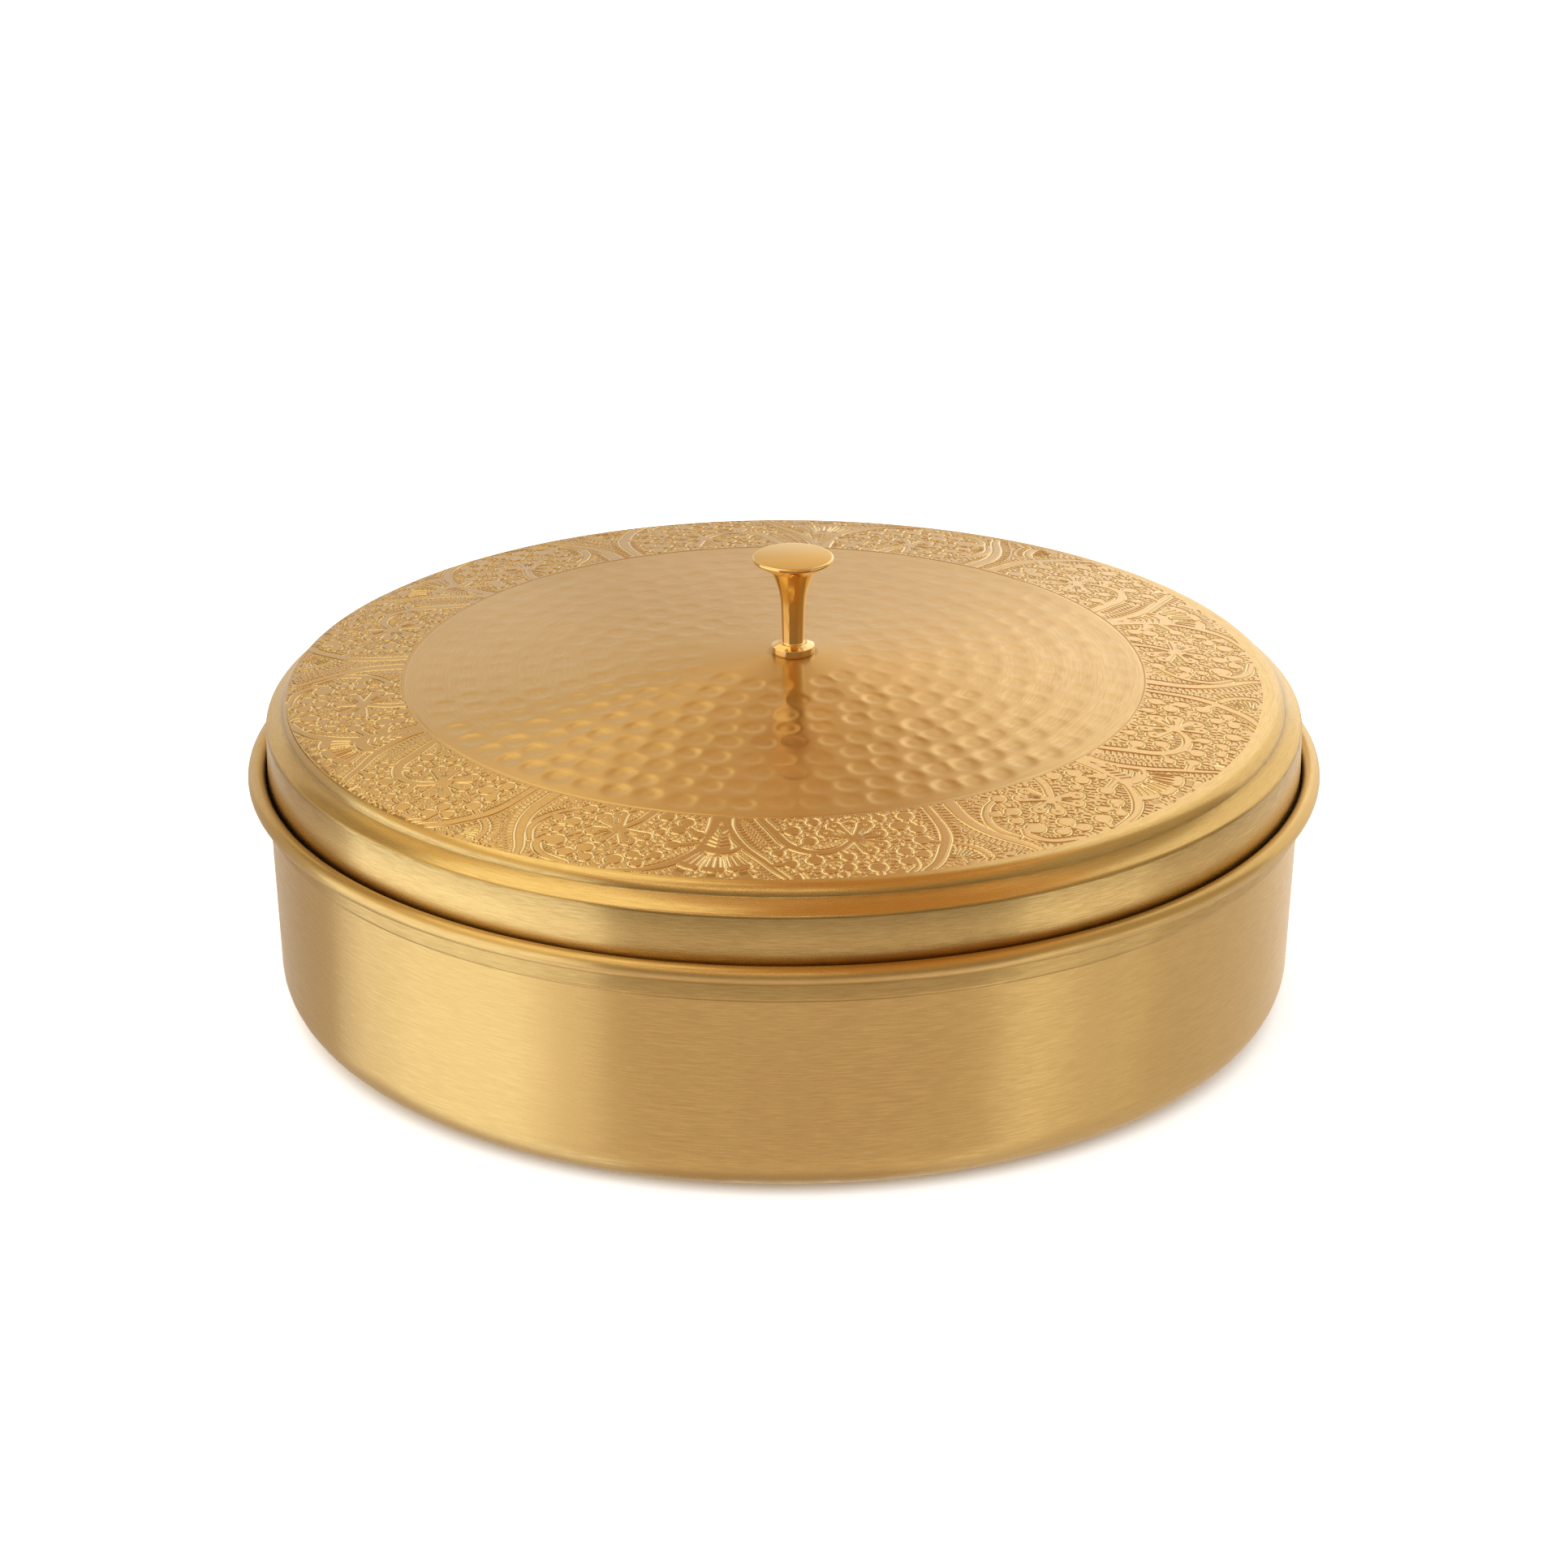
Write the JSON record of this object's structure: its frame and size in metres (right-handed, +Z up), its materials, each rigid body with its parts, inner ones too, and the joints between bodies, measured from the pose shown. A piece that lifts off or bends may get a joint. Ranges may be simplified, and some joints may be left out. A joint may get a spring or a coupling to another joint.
{
  "type": "spice box",
  "caption": "Round spun brass spice box with a lift-off lid on a turned knob, small round cups inside and a spoon.",
  "frame": {"origin": "on the box's axis, in the plane of its base", "axes": "+Z up along the box's axis, the knob a little towards +X, -Y towards the viewer of the picture"},
  "size_m": [0.24, 0.24, 0.1017],
  "materials": {
    "box_brass": "spun and brushed to a satin",
    "lid_brass": "hammered disc, etched band, brushed edge",
    "knob_brass": "turned and polished",
    "fixing_brass": "turned, plain",
    "cup_brass": "spun and brushed",
    "spoon_brass": "pressed and polished"
  },
  "bodies": {
    "box": {"box_body": "box_brass"},
    "lid": {"lid": "lid_brass", "knob": "knob_brass", "knob_washer": "fixing_brass", "knob_screw": "fixing_brass"},
    "cup_1": {"cup_1": "cup_brass"},
    "cup_2": {"cup_2": "cup_brass"},
    "cup_3": {"cup_3": "cup_brass"},
    "cup_4": {"cup_4": "cup_brass"},
    "cup_5": {"cup_5": "cup_brass"},
    "cup_6": {"cup_6": "cup_brass"},
    "cup_centre": {"cup_centre": "cup_brass"},
    "spoon": {"spoon": "spoon_brass"}
  },
  "joints": [
    {"name": "lid_lift", "type": "slide", "parent": "box", "child": "lid", "axis": [0, 0, 1], "range_m": [0, 0.15]},
    {"name": "cup_1_lift", "type": "slide", "parent": "box", "child": "cup_1", "axis": [0, 0, 1], "range_m": [0, 0.022]},
    {"name": "cup_2_lift", "type": "slide", "parent": "box", "child": "cup_2", "axis": [0, 0, 1], "range_m": [0, 0.022]},
    {"name": "cup_3_lift", "type": "slide", "parent": "box", "child": "cup_3", "axis": [0, 0, 1], "range_m": [0, 0.022]},
    {"name": "cup_4_lift", "type": "slide", "parent": "box", "child": "cup_4", "axis": [0, 0, 1], "range_m": [0, 0.022]},
    {"name": "cup_5_lift", "type": "slide", "parent": "box", "child": "cup_5", "axis": [0, 0, 1], "range_m": [0, 0.022]},
    {"name": "cup_6_lift", "type": "slide", "parent": "box", "child": "cup_6", "axis": [0, 0, 1], "range_m": [0, 0.022]},
    {"name": "cup_centre_lift", "type": "slide", "parent": "box", "child": "cup_centre", "axis": [0, 0, 1], "range_m": [0, 0.01]},
    {"name": "spoon_lift", "type": "slide", "parent": "cup_centre", "child": "spoon", "axis": [0, 0, 1], "range_m": [0, 0.01]}
  ]
}
